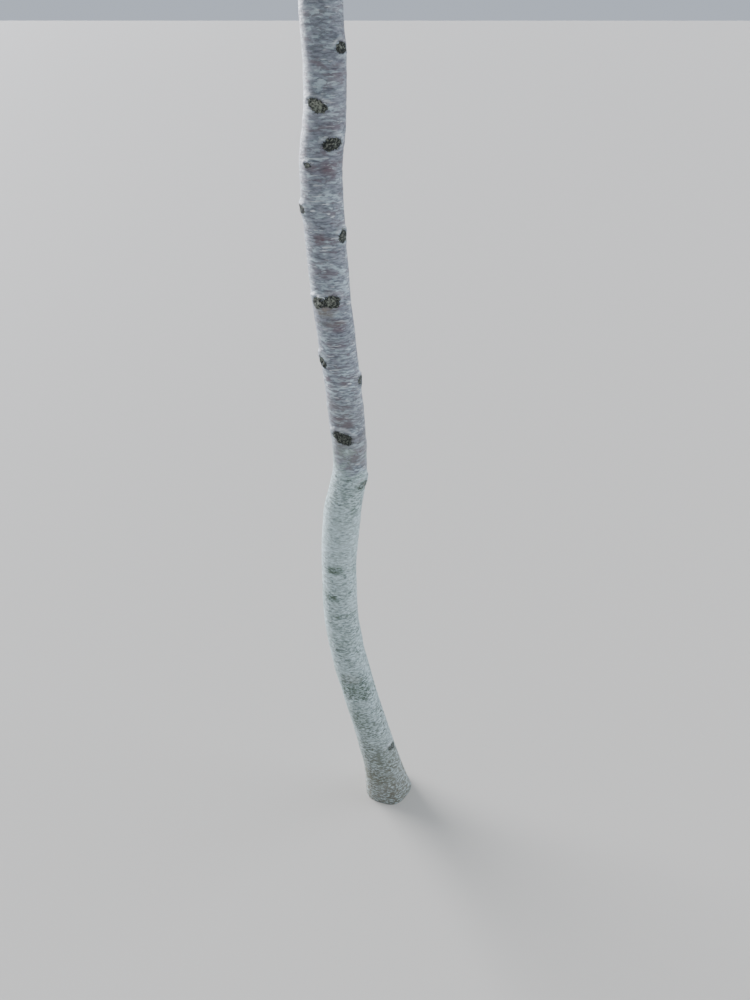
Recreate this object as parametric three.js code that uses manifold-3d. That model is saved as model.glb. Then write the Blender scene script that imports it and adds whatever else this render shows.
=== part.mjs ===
// A young sour cherry tree, grown as a nursery standard: a slim bent trunk with the scars of its pruned
// side shoots, two tiers of boughs above head height, and a rounded crown of leafy masses.
// Millimetres, +Z up. The origin is the middle of the flat cut under the trunk, at ground level.
// Turns are degrees round the trunk, from the side that faces -Y (0) through +X (90).
import * as THREE from "three";
import { mergeVertices } from "three/addons/utils/BufferGeometryUtils.js";
import Module from "manifold-3d";

const wasm = await Module();
wasm.setup();

// Trunk: height, sideways place, depth place and diameter at each bend of its line.
const trunkStations = [
  [0, 0, 0, 83],
  [90, -16, 2, 77],
  [235, -49, 6, 73],
  [370, -78, 8, 70],
  [480, -94, 8, 67],
  [620, -97, 5, 65],
  [745, -88, 1, 67],
  [800, -78.4, 0, 62.8],
  [850, -72.4, 0, 58],
  [980, -81, 2, 59],
  [1140, -97, 4, 60],
  [1310, -105.8, 6, 61],
  [1375, -98.8, 7, 60],
  [1440, -96.2, 8, 57.5],
  [1510, -99, 8, 57],
  [1850, -86, 14, 56],
  [2150, -96, 22, 45],
  [2450, -86, 18, 38],
  [2780, -74, 2, 30],
  [3100, -90, -8, 22],
];
const trunkTop = 3100;
const trunkSides = 16;
const closeRings = 30; // rings up to stemView, where the bends are tight
const stemView = 1560;
const wideRings = 10; // rings from there to the tip
const rootFlare = 10; // how far the foot spreads past the trunk, each side
const rootFlareHeight = 60;
const rootRidges = 5;
const ridgeDepth = 0.035; // share of the radius

// Pruning scars: height, turn, half width and half height of each.
const scars = [
  [1462, 52, 10, 7.5],
  [1397, -17, 15, 7.8],
  [1349, 26, 14, 9],
  [1323, -31, 7.2, 4.5],
  [1263, -68, 10, 7.5],
  [1226, 57, 10, 10.5],
  [1132, -35, 12.5, 9.5],
  [1135, 3, 12.5, 10],
  [1036, -55, 12, 8.5],
  [1001, 72, 10.5, 9.5],
  [907, -16, 17.5, 11],
  [815, 52, 13, 7.5],
  [149, 60, 13.5, 8.5],
];
const scarDepth = 1.25; // half depth of a scar's boss, as a share of its half height
const scarRise = 0.42; // how far it stands out, as a share of the same

// The far side of the trunk carries scars of the same kind, spaced by the cherry's own leaf spiral.
const farScars = 9;
const farScarFoot = 640;
const farScarStep = 118;
const farScarTurn = 180;
const farScarSpread = 45; // degrees to each side of that turn
const farScarSize = [12, 10];
const farScarJitter = 0.2;

// Crown: two tiers of masses round the trunk, and one on its tip.
const crownAxis = [-88, 8];
const tiers = [
  {
    name: "low", count: 5, firstTurn: 22, ring: 770, height: 2300, halfWidth: 620, halfHeight: 620,
    boughFoot: 1850, boughStep: 62, boughRadius: 15, tipRadius: 9, seed: 1207,
  },
  {
    name: "high", count: 5, firstTurn: 58, ring: 610, height: 3020, halfWidth: 630, halfHeight: 630,
    boughFoot: 2390, boughStep: 68, boughRadius: 11, tipRadius: 7, seed: 3407,
  },
];
const topMass = { height: 3640, halfWidth: 620, halfHeight: 570, seed: 5003 };
const turnJitter = 5; // degrees
const ringJitter = 45;
const heightJitter = 60;
const sizeJitter = 0.05; // share of the half width and height
const whorlSkip = 2; // neighbouring masses take boughs this many steps apart on the trunk
const spaceMargin = 6; // between a mass and its wall to each neighbour

// Boughs
const boughSides = 8;
const boughRings = 6;
const boughBend = 0.5; // where a bough bends, as a share of its reach
const boughRise = 0.33; // how far it has risen by there, against how far out it is
const collarSwell = 0.45; // share of the radius added where a bough leaves the trunk
const collarLength = 0.16; // share of the bough
const boughSpan = 0.42; // where on the way to its mass's middle a bough ends

// Twigs
const seatGap = 0.35; // between a limb and what it carries
const limbClearance = 14; // between the trunk or a bough and any twig or leaf beside it
const beadFoot = 1500; // lowest height of the trunk that leaves can come near
const beadStep = 10;
const stemSides = 5;
const stemRings = 4;
const stemReach = 0.86; // share of the way to the edge of its space
const stemTipRatio = 0.4;
const stemBend = 0.45;
const stemLift = 0.35; // how far a mass's stem turns up past its middle, against its reach
const topLean = 0.16; // lean of the topmost stem, and the turn that it leans towards
const topLeanTurn = 110;
const twigSides = 3;
const twigRings = 2;
const sideTwigs = 8;
const firstTwig = 0.1; // place of the first side twig along its stem
const lastTwig = 0.93;
const openAtFoot = 82; // degrees between stem and side twig
const openAtTip = 38;
const openJitter = 6;
const twigTurnJitter = 14;
const twigReach = 0.9; // least share of its room that a side twig takes
const twigRadius = 7;
const offshootRadius = 5.2;
const offshootPlace = 0.42;
const offshootOpen = 48;
const offshootReach = 0.85;
const offshootLongest = 0.8; // share of its own twig's length
const shortestTwig = 90;
const leafRoom = 190; // left beyond a twig's tip for its last leaf
const twigBend = 0.55;
const twigSag = 0.16; // how far a twig arches over, as a share of its length
const goldenAngle = 137.508;

// Leaves: each stands for a spray of the real ones.
const leafLength = 240;
const leafSizes = [0.86, 1.08]; // least and greatest share of that length
const leafWidth = 0.64; // this and the next six are shares of a leaf's own length
const leafShoulder = 0.42; // place of its widest point
const leafLift = 0.06;
const leafDroop = 0.13;
const ribPlace = 0.62;
const ribDrop = 0.03;
const keelPlace = 0.25;
const leafKeel = 0.032;
const leafSpacing = 98;
const leafFirst = 95; // bare foot of a twig
const lastLeaf = 0.88; // furthest place of a side leaf along its twig
const endLeaf = 0.93; // place of the leaf at a twig's end
const leafOpen = 52; // degrees between twig and leaf
const endLeafOpen = 25; // degrees more at each try for the leaf at a twig's end
const leafTurnJitter = 40;
const leafTilt = 0.5; // how far a leaf's face may lean from straight up
const leafSunk = 0.35; // share of the twig's radius that a leaf's foot is sunk by
const leafTries = 6; // turns tried for a leaf before its place stays bare

// Seeds: the step between masses, and those between one mass's twigs and between their leaves.
const massSeedStep = 97;
const massSeedScale = 31;
const twigSeedStep = 977;
const leafSeedStep = 131;

const barkLook = { color: 0x9b9894, roughness: 0.75 };
const boughLook = { color: 0x6f625b, roughness: 0.6 };
const leafLook = { color: 0x3f5e2b, roughness: 0.5 };

const up = new THREE.Vector3(0, 0, 1);
const radians = THREE.MathUtils.degToRad;
const mix = THREE.MathUtils.lerp;

// A generator of even numbers from 0 to 1 that gives the same row for the same seed.
function seededRandom(seed) {
  const modulus = 2147483647;
  const multiplier = 48271;
  let state = seed;
  const next = () => {
    state = (state * multiplier) % modulus;
    return state / modulus;
  };
  next();
  next();
  return next;
}

// A number between -1 and 1.
const swing = (random) => 2 * random() - 1;

// The smooth value of one column of the trunk's stations at a height.
function stationValue(height, column) {
  const rows = trunkStations;
  let i = 0;
  while (i < rows.length - 2 && rows[i + 1][0] < height) i++;
  const slope = (k) => {
    const before = rows[Math.max(k - 1, 0)];
    const after = rows[Math.min(k + 1, rows.length - 1)];
    return (after[column] - before[column]) / (after[0] - before[0]);
  };
  const [low, high] = [rows[i], rows[i + 1]];
  const span = high[0] - low[0];
  const t = (height - low[0]) / span;
  return (
    (2 * t ** 3 - 3 * t ** 2 + 1) * low[column] +
    (t ** 3 - 2 * t ** 2 + t) * span * slope(i) +
    (3 * t ** 2 - 2 * t ** 3) * high[column] +
    (t ** 3 - t ** 2) * span * slope(i + 1)
  );
}

const trunkCentre = (height) =>
  new THREE.Vector3(stationValue(height, 1), stationValue(height, 2), height);

// The trunk's radius at a height and an angle round it, with the flare and ridges of its foot.
function trunkRadius(height, angle) {
  const foot = Math.exp(-height / rootFlareHeight);
  const ridges = 1 + ridgeDepth * foot * Math.cos(rootRidges * angle);
  return (stationValue(height, 3) / 2 + rootFlare * foot) * ridges;
}

const outwards = (turn) => new THREE.Vector3(Math.sin(radians(turn)), -Math.cos(radians(turn)), 0);

// Two directions square to a heading and to each other.
function crossways(heading) {
  const helper = Math.abs(heading.z) > 0.9 ? new THREE.Vector3(1, 0, 0) : up;
  const across = new THREE.Vector3().crossVectors(helper, heading).normalize();
  return [across, new THREE.Vector3().crossVectors(heading, across)];
}

// A heading opened from another by so many degrees, towards a turn round it.
function openedFrom(heading, open, turn) {
  const [across, over] = crossways(heading);
  return heading
    .clone()
    .multiplyScalar(Math.cos(radians(open)))
    .addScaledVector(across, Math.sin(radians(open)) * Math.cos(radians(turn)))
    .addScaledVector(over, Math.sin(radians(open)) * Math.sin(radians(turn)));
}

// A three.js geometry as a manifold-3d solid.
function solidOf(geometry) {
  geometry.deleteAttribute("normal");
  geometry.deleteAttribute("uv");
  const merged = mergeVertices(geometry, 1e-4);
  return new wasm.Manifold(
    new wasm.Mesh({
      numProp: 3,
      vertProperties: new Float32Array(merged.attributes.position.array),
      triVerts: new Uint32Array(merged.index.array),
    }),
  );
}

function geometryOf(solid) {
  const { numProp, numVert, vertProperties, triVerts } = solid.getMesh();
  const points = new Float32Array(numVert * 3);
  for (let i = 0; i < numVert; i++) {
    points.set(vertProperties.subarray(i * numProp, i * numProp + 3), i * 3);
  }
  return new THREE.BufferGeometry()
    .setAttribute("position", new THREE.BufferAttribute(points, 3))
    .setIndex(new THREE.BufferAttribute(new Uint32Array(triVerts), 1));
}

// Fuses solids, drops loose scraps and fills sealed hollows: only the largest skin stays.
function fused(solids) {
  const skins = wasm.Manifold.union(solids).decompose();
  return skins.reduce((best, skin) => (skin.volume() > best.volume() ? skin : best));
}

// A round bar along a bent line. It tapers evenly to tipRatio of its foot, and may swell at the foot.
function barSolid(curve, footRadius, tipRatio, sides, rings, swell = 0) {
  const geometry = new THREE.CylinderGeometry(tipRatio, 1, 1, sides, rings);
  const position = geometry.attributes.position;
  const bend = new THREE.Vector3().crossVectors(curve.getTangent(0), curve.getTangent(1));
  const across = bend.length() > 1e-3 ? bend.normalize() : crossways(curve.getTangent(0))[0];
  for (let i = 0; i < position.count; i++) {
    const along = position.getY(i) + 0.5;
    const over = new THREE.Vector3().crossVectors(across, curve.getTangent(along));
    const radius = footRadius * (1 + swell * Math.exp(-along / collarLength));
    const point = curve
      .getPoint(along)
      .addScaledVector(across, radius * position.getX(i))
      .addScaledVector(over, radius * position.getZ(i));
    position.setXYZ(i, point.x, point.y, point.z);
  }
  return solidOf(geometry);
}

// The trunk's skin, grown outwards by so much.
function trunkSkin(grown) {
  const rings = closeRings + wideRings;
  const geometry = new THREE.CylinderGeometry(1, 1, 1, trunkSides, rings);
  const position = geometry.attributes.position;
  for (let i = 0; i < position.count; i++) {
    const ring = Math.round((position.getY(i) + 0.5) * rings);
    const height =
      ring <= closeRings
        ? (stemView * ring) / closeRings
        : mix(stemView, trunkTop, (ring - closeRings) / wideRings);
    const [x, y] = [position.getX(i), -position.getZ(i)];
    const centre = trunkCentre(height);
    const radius = (trunkRadius(height, Math.atan2(y, x)) + grown) * Math.hypot(x, y);
    const angle = Math.atan2(y, x);
    const end = ring === 0 ? -grown : ring === rings ? grown : 0;
    position.setXYZ(
      i, centre.x + radius * Math.cos(angle), centre.y + radius * Math.sin(angle), height + end,
    );
  }
  return solidOf(geometry);
}

// The low boss of healed bark round a pruned shoot, half sunk in the trunk.
function scarBoss([height, turn, halfWidth, halfHeight]) {
  const out = outwards(turn);
  const surface = trunkRadius(height, Math.atan2(out.y, out.x));
  const boss = new THREE.OctahedronGeometry(1, 1);
  boss.scale(halfWidth, halfHeight, halfHeight * scarDepth);
  boss.rotateX(Math.PI / 2);
  boss.rotateZ(radians(turn));
  const sunk = surface - halfHeight * (scarDepth - scarRise);
  const seat = trunkCentre(height).addScaledVector(out, sunk);
  return solidOf(boss.translate(seat.x, seat.y, seat.z));
}

function farSideScars() {
  const [halfWidth, halfHeight] = farScarSize;
  return Array.from({ length: farScars }, (_, i) => {
    const spiral = radians(i * goldenAngle);
    return [
      farScarFoot + farScarStep * i,
      farScarTurn + farScarSpread * Math.sin(spiral),
      halfWidth * (1 + farScarJitter * Math.cos(spiral)),
      halfHeight * (1 + farScarJitter * Math.sin(spiral)),
    ];
  });
}

function makeTrunk() {
  return fused([trunkSkin(0), ...scars.map(scarBoss), ...farSideScars().map(scarBoss)]);
}

// The spaces of the leafy masses: each an ellipsoid, cut off half way to each neighbour.
function planMasses() {
  const masses = [];
  for (const tier of tiers) {
    for (let i = 0; i < tier.count; i++) {
      const seed = tier.seed + massSeedStep * i;
      const random = seededRandom(seed);
      const turn = tier.firstTurn + (360 / tier.count) * i + turnJitter * swing(random);
      const ring = tier.ring + ringJitter * swing(random);
      const size = 1 + sizeJitter * swing(random);
      const height = tier.height + heightJitter * swing(random);
      const out = outwards(turn);
      masses.push({
        name: `${tier.name}_${i + 1}`,
        seed,
        tier,
        turn,
        centre: new THREE.Vector3(crownAxis[0] + ring * out.x, crownAxis[1] + ring * out.y, height),
        half: new THREE.Vector3(
          tier.halfWidth * size, tier.halfWidth * size, tier.halfHeight * size,
        ),
        boughHeight: tier.boughFoot + tier.boughStep * ((i * whorlSkip) % tier.count),
      });
    }
  }
  masses.push({
    name: "top",
    seed: topMass.seed,
    centre: new THREE.Vector3(...crownAxis, topMass.height),
    half: new THREE.Vector3(topMass.halfWidth, topMass.halfWidth, topMass.halfHeight),
  });
  return masses;
}

const masses = planMasses();

// The flat walls between a mass and its neighbours: a point on each, and the way out through it.
function wallsOf(mass) {
  return masses
    .filter((other) => other !== mass)
    .map((other) => {
      const out = other.centre.clone().sub(mass.centre).normalize();
      const middle = other.centre.clone().add(mass.centre).multiplyScalar(0.5);
      return { out, at: middle.addScaledVector(out, -spaceMargin) };
    });
}
for (const mass of masses) mass.walls = wallsOf(mass);

function isInside(mass, point) {
  const offset = point.clone().sub(mass.centre).divide(mass.half);
  return (
    offset.lengthSq() <= 1 &&
    mass.walls.every(({ out, at }) => point.clone().sub(at).dot(out) <= 0)
  );
}

// How far a ray runs before it leaves a mass's space.
function roomAlong(mass, start, heading) {
  const offset = start.clone().sub(mass.centre).divide(mass.half);
  const step = heading.clone().divide(mass.half);
  const [a, b, c] = [step.lengthSq(), offset.dot(step), offset.lengthSq() - 1];
  let room = (-b + Math.sqrt(Math.max(b * b - a * c, 0))) / a;
  for (const { out, at } of mass.walls) {
    const speed = heading.dot(out);
    if (speed > 0) room = Math.min(room, at.clone().sub(start).dot(out) / speed);
  }
  return Math.max(room, 0);
}

// A bough's line: it leaves the trunk rising, bends outwards and ends where its mass begins.
function boughCurve(mass) {
  const foot = trunkCentre(mass.boughHeight);
  const out = outwards(mass.turn);
  const tip = foot.clone().lerp(mass.centre, boughSpan);
  const reach = tip.distanceTo(foot);
  const knee = foot
    .clone()
    .addScaledVector(out, reach * boughBend)
    .addScaledVector(up, reach * boughBend * boughRise);
  return new THREE.QuadraticBezierCurve3(foot, knee, tip);
}

// The line of a mass's main stem, on from its bough or from the trunk's tip.
function stemCurve(mass) {
  const seat = mass.bough ? mass.bough.getPoint(1) : trunkCentre(trunkTop);
  const heading = mass.bough ? mass.bough.getTangent(1) : up.clone();
  const foot = seat.clone().addScaledVector(heading, seatGap);
  const away = mass.bough
    ? mass.centre.clone().sub(seat).normalize().addScaledVector(up, stemLift).normalize()
    : outwards(topLeanTurn).multiplyScalar(topLean).add(up).normalize();
  const reach = roomAlong(mass, mass.centre, away) * stemReach;
  const tip = mass.centre.clone().addScaledVector(away, reach);
  const knee = foot.clone().addScaledVector(heading, tip.distanceTo(foot) * stemBend);
  return new THREE.QuadraticBezierCurve3(foot, knee, tip);
}

// Spheres along the trunk and boughs that twigs and leaves keep away from.
function limbBeads() {
  const beads = [];
  for (let height = beadFoot; height <= trunkTop; height += beadStep) {
    beads.push({ at: trunkCentre(height), radius: trunkRadius(height, 0) });
  }
  for (const mass of masses.filter((m) => m.bough)) {
    const steps = Math.ceil(mass.bough.getLength() / beadStep);
    for (let i = 0; i <= steps; i++) {
      const along = i / steps;
      const radius = mix(mass.tier.boughRadius, mass.tier.tipRadius, along);
      beads.push({ at: mass.bough.getPoint(along), radius });
    }
  }
  return beads;
}

for (const mass of masses.filter((m) => m.tier)) mass.bough = boughCurve(mass);
for (const mass of masses) mass.stem = stemCurve(mass);
const beads = limbBeads();

const isClear = (point) =>
  beads.every(({ at, radius }) => point.distanceTo(at) > radius + limbClearance);

// A twig's line: it sets out on a heading and arches over towards its tip.
function twigCurve(start, heading, length) {
  const knee = start.clone().addScaledVector(heading, length * twigBend);
  const tip = start
    .clone()
    .addScaledVector(heading, length)
    .addScaledVector(up, -twigSag * length);
  return new THREE.QuadraticBezierCurve3(start, knee, tip);
}

function twigFits(mass, curve) {
  return [0.25, 0.5, 0.75, 1].every((along) => {
    const point = curve.getPoint(along);
    return isInside(mass, point) && isClear(point);
  });
}

// The six points of a leaf: foot, left and right edge, tip, and the midrib above and below.
function leafPoints(foot, heading, face, length) {
  const side = new THREE.Vector3().crossVectors(face, heading).normalize();
  const top = new THREE.Vector3().crossVectors(heading, side).normalize();
  const at = (along, across, lift) =>
    foot
      .clone()
      .addScaledVector(heading, along * length)
      .addScaledVector(side, across * length)
      .addScaledVector(top, lift * length);
  return [
    at(0, 0, 0),
    at(leafShoulder, leafWidth / 2, leafLift),
    at(leafShoulder, -leafWidth / 2, leafLift),
    at(1, 0, -leafDroop),
    at(ribPlace, 0, -ribDrop),
    at(keelPlace, 0, -leafKeel),
  ];
}

function leafSolid(points) {
  const [foot, left, right, tip, rib, keel] = [0, 1, 2, 3, 4, 5];
  const faces = [
    [foot, right, left], [left, right, rib], [left, rib, tip], [rib, right, tip],
    [foot, left, keel], [left, tip, keel], [tip, right, keel], [right, foot, keel],
  ];
  const geometry = new THREE.BufferGeometry().setFromPoints(points).setIndex(faces.flat());
  return solidOf(geometry);
}

function leafFits(mass, points) {
  const [foot, left, right, tip, rib] = points;
  const middle = left.clone().add(right).multiplyScalar(0.5);
  const between = tip.clone().add(rib).multiplyScalar(0.5);
  return (
    [left, right, tip, rib].every((point) => isInside(mass, point)) &&
    [left, right, tip, rib, middle, between, foot.clone().lerp(middle, 0.5)].every(isClear)
  );
}

const crosses = (solid, others) => others.some((other) => solid.intersect(other).volume() > 0);

// Leaves in a spiral up a twig, with one at its end. One that would cross another twig or leaf is turned.
function addLeaves(leaves, mass, curve, footRadius, otherWood, random) {
  const length = curve.getLength();
  const count = Math.max(Math.floor((length - leafFirst) / leafSpacing) + 1, 1);
  for (let i = 0; i <= count; i++) {
    const last = i === count;
    const sidePlace = Math.min((leafFirst + leafSpacing * i) / length, lastLeaf);
    const along = last ? endLeaf : sidePlace;
    const heading = curve.getTangent(along);
    const size = leafLength * mix(...leafSizes, random());
    const face = up.clone();
    face.x += leafTilt * swing(random);
    face.y += leafTilt * swing(random);
    const firstTurn = i * goldenAngle + leafTurnJitter * random();
    const sunk = footRadius * (1 - along) * leafSunk;
    for (let attempt = 0; attempt < leafTries; attempt++) {
      const open = last ? endLeafOpen * attempt : leafOpen;
      const ahead = openedFrom(heading, open, firstTurn + attempt * goldenAngle);
      const foot = curve.getPoint(along).addScaledVector(ahead, -sunk);
      const points = leafPoints(foot, ahead, face, size);
      if (!leafFits(mass, points)) continue;
      const leaf = leafSolid(points);
      if (crosses(leaf, otherWood) || crosses(leaf, leaves)) continue;
      leaves.push(leaf);
      break;
    }
  }
}

// One leafy mass: side twigs in a spiral up its stem, an offshoot on each, and leaves on both.
function makeMass(mass) {
  const stemFoot = mass.tier ? mass.tier.tipRadius : trunkRadius(trunkTop, 0);
  const stem = barSolid(mass.stem, stemFoot, stemTipRatio, stemSides, stemRings);
  const twigs = [{ curve: mass.stem, radius: stemFoot, solid: stem }];
  const grow = (curve, radius) => {
    twigs.push({ curve, radius, solid: barSolid(curve, radius, 0, twigSides, twigRings) });
  };
  for (let i = 0; i < sideTwigs; i++) {
    const random = seededRandom(mass.seed * massSeedScale + twigSeedStep * (i + 1));
    const share = i / (sideTwigs - 1);
    const along = mix(firstTwig, lastTwig, share);
    const open = mix(openAtFoot, openAtTip, share) + openJitter * swing(random);
    const turn = i * goldenAngle + twigTurnJitter * random();
    const heading = openedFrom(mass.stem.getTangent(along), open, turn);
    const start = mass.stem.getPoint(along);
    const length = roomAlong(mass, start, heading) * mix(twigReach, 1, random()) - leafRoom;
    const offshootTurn = 360 * random();
    const offshootShare = mix(offshootReach, 1, random());
    if (length < shortestTwig) continue;
    const twig = twigCurve(start, heading, length);
    if (!twigFits(mass, twig)) continue;
    grow(twig, twigRadius);
    const knot = twig.getPoint(offshootPlace);
    const aside = openedFrom(twig.getTangent(offshootPlace), offshootOpen, offshootTurn);
    const room = roomAlong(mass, knot, aside) * offshootShare - leafRoom;
    if (room < shortestTwig) continue;
    const offshoot = twigCurve(knot, aside, Math.min(room, offshootLongest * length));
    if (twigFits(mass, offshoot)) grow(offshoot, offshootRadius);
  }
  const wood = twigs.map((twig) => twig.solid);
  const leaves = [];
  twigs.forEach(({ curve, radius }, i) => {
    const random = seededRandom(mass.seed * massSeedScale + leafSeedStep * (i + 1));
    addLeaves(leaves, mass, curve, radius, wood.toSpliced(i, 1), random);
  });
  return fused([...wood, ...leaves]);
}

// A bough, cut back from the trunk so that it seats just clear of the bark.
function makeBough(mass, trunkGrown) {
  const { boughRadius, tipRadius } = mass.tier;
  const tipRatio = tipRadius / boughRadius;
  const whole = barSolid(mass.bough, boughRadius, tipRatio, boughSides, boughRings, collarSwell);
  return fused([whole.subtract(trunkGrown)]);
}

function addPart(tree, name, solid, look) {
  const material = new THREE.MeshStandardMaterial({ ...look, metalness: 0 });
  const mesh = new THREE.Mesh(geometryOf(solid), material);
  mesh.name = name;
  tree.add(mesh);
}

const tree = new THREE.Group();
addPart(tree, "trunk", makeTrunk(), barkLook);
const trunkGrown = trunkSkin(seatGap);
for (const mass of masses.filter((m) => m.bough)) {
  addPart(tree, `bough_${mass.name}`, makeBough(mass, trunkGrown), boughLook);
}
for (const mass of masses) {
  addPart(tree, `foliage_${mass.name}`, makeMass(mass), leafLook);
}

export default tree;
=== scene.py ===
import functools
import itertools
import math

import bpy
import numpy as np
from mathutils import Matrix, Vector


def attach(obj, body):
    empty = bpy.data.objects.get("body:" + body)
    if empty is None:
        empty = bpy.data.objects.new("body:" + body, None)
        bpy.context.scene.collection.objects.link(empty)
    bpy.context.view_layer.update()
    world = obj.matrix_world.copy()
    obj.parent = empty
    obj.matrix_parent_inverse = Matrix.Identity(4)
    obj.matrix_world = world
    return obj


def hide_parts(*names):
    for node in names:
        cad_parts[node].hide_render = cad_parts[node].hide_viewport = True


# A young sour cherry tree, grown as a nursery standard, in metres. Turns are degrees round the trunk,
# from the side that faces -Y (0) through +X (90).
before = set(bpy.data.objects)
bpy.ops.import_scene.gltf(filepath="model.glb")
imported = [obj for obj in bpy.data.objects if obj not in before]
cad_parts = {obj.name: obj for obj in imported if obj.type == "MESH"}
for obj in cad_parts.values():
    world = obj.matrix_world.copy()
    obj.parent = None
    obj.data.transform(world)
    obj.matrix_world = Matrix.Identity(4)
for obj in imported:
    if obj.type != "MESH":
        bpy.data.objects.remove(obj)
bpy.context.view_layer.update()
scene = bpy.context.scene
upwards = Vector((0, 0, 1))
goldenAngle = 137.508
print("frame loaded:", len(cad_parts), "nodes")

# Camera: held at eye height, a step from the trunk, looking down at its foot.
photoView = dict(place=(-0.0298, -1.1689, 1.5), tilt=58, lens=28.08, filmHeight=36, nearest=0.01)
camera = bpy.data.cameras.new("photoView")
camera.lens = photoView["lens"]
camera.sensor_fit = "VERTICAL"
camera.sensor_height = photoView["filmHeight"]
camera.clip_start = photoView["nearest"]
cameraObject = bpy.data.objects.new("photoView", camera)
cameraObject.location = photoView["place"]
cameraObject.rotation_euler = (math.radians(photoView["tilt"]), 0, 0)
scene.collection.objects.link(cameraObject)
scene.camera = cameraObject


# Small helpers for meshes, node trees and colours. A colour's code is made linear by the curve of sRGB.
srgb = dict(straightTo=0.04045, slope=12.92, offset=0.055, power=2.4)


def hexColour(code):
    parts = [int(code[i:i + 2], 16) / 255 for i in (1, 3, 5)]
    linear = [p / srgb["slope"] if p <= srgb["straightTo"]
              else ((p + srgb["offset"]) / (1 + srgb["offset"])) ** srgb["power"] for p in parts]
    return (*linear, 1.0)


def plug(tree, socket, value):
    if isinstance(value, bpy.types.NodeSocket):
        tree.links.new(value, socket)
    else:
        socket.default_value = value


def addNode(tree, kind, inputs=None, **settings):
    node = tree.nodes.new(kind)
    for name, value in settings.items():
        setattr(node, name, value)
    for name, value in (inputs or {}).items():
        plug(tree, node.inputs[name], value)
    return node


def startMaterial(name):
    material = bpy.data.materials.new(name)
    material.use_nodes = True
    return material, material.node_tree, material.node_tree.nodes["Principled BSDF"]


def addObject(name, mesh):
    piece = bpy.data.objects.new(name, mesh)
    scene.collection.objects.link(piece)
    return piece


def finishPiece(piece, slotName, *nodes):
    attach(piece, "root")
    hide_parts(*nodes)


def mix(low, high, share):
    return low + (high - low) * share


def bell(value, middle, width, power=2):
    return np.exp(-((value - middle) / width) ** power)


def softStep(low, high, value):
    share = np.clip((value - low) / (high - low), 0, 1)
    return share * share * (3 - 2 * share)


def addAttribute(mesh, label, kind, values):
    data = mesh.attributes.new(label, kind, "POINT").data
    data.foreach_set("vector" if kind == "FLOAT_VECTOR" else "value", values)


randomFactor = 48271
randomModulus = 2147483647


def seededRandom(seed):
    state = seed

    def draw():
        nonlocal state
        state = state * randomFactor % randomModulus
        return state / randomModulus

    draw()
    draw()
    return draw


def swing(random):
    return 2 * random() - 1


# Lumps on the bark: the size of each, or its sizes across (two ways) and along, and its seed.
barkLumps = dict(
    wrinkle=((0.03, 0.03, 0.0055), 11), fineWrinkle=((0.015, 0.015, 0.00275), 12), lump=(0.045, 13),
    crust=(0.006, 14), fineCrust=(0.006 / 2.1, 15), crustEdge=((0.024, 0.024, 0.018), 16),
    scarEdge=(0.007, 17), crumb=(0.0045, 18), stainEdge=(0.01, 19), film=((0.04, 0.04, 0.016), 20),
    fineScarEdge=(0.0035, 21), lip=(0.009, 22), boughLump=(0.03, 31),
    boughWrinkle=((0.02, 0.02, 0.005), 32),
)
cornerHash = dict(factors=(73856093, 19349663, 83492791), seedStep=7919, scramble=1274126177,
                  firstShift=13, secondShift=15, keptBits=0xFFFFFFFF, valueBits=0xFFFF)


# Even lumps between -1 and 1, from a hash of the corners of each lump's cube.
def lumps(place, name):
    size, seed = barkLumps[name]
    mixer = cornerHash
    points = place / size
    cell = np.floor(points).astype(np.int64)
    part = points - cell
    part = part * part * (3 - 2 * part)
    total = np.zeros(points.shape[:-1])
    for corner in itertools.product((0, 1), repeat=3):
        key = (cell + corner) @ np.array(mixer["factors"]) + seed * mixer["seedStep"]
        key = (key ^ (key >> mixer["firstShift"])) * mixer["scramble"] & mixer["keptBits"]
        value = ((key ^ (key >> mixer["secondShift"])) & mixer["valueBits"]) / mixer["valueBits"]
        weight = np.prod(np.where(corner, part, 1 - part), axis=-1)
        total += weight * value
    return 2 * total - 1


# Trunk: height, sideways place, depth place and diameter at each bend of its line.
trunk = dict(
    stations=(
        (0, 0, 0, 0.083), (0.09, -0.016, 0.002, 0.077), (0.235, -0.049, 0.006, 0.073),
        (0.37, -0.078, 0.008, 0.07), (0.48, -0.094, 0.008, 0.067), (0.62, -0.097, 0.005, 0.065),
        (0.745, -0.088, 0.001, 0.067), (0.8, -0.0784, 0, 0.0628), (0.85, -0.0724, 0, 0.058),
        (0.98, -0.081, 0.002, 0.059), (1.14, -0.097, 0.004, 0.06), (1.31, -0.1058, 0.006, 0.061),
        (1.375, -0.0988, 0.007, 0.06), (1.44, -0.0962, 0.008, 0.0575), (1.51, -0.099, 0.008, 0.057),
        (1.85, -0.086, 0.014, 0.056), (2.15, -0.096, 0.022, 0.045), (2.45, -0.086, 0.018, 0.038),
        (2.78, -0.074, 0.002, 0.03), (3.1, -0.09, -0.008, 0.022),
    ),
    top=3.1,
    closeTop=1.6,     # the close rows of the mesh end here
    closeRow=0.002,
    wideRow=0.0078,
    columns=94,
    rootFlare=0.01,
    rootFlareHeight=0.06,
    rootRidges=5,
    ridgeDepth=0.035,
    lumpDepth=0.0009, wrinkleDepth=0.0003, fineWrinkles=0.5,
    crustDepth=0.00035, fineCrust=0.6,
    collarRise=0.0045, collarSize=0.024, collarTall=1.25, collarDrop=0.006,   # swelling under each bough
    cutFade=0.004,                                     # the foot stays in its flat cut
)


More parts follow.
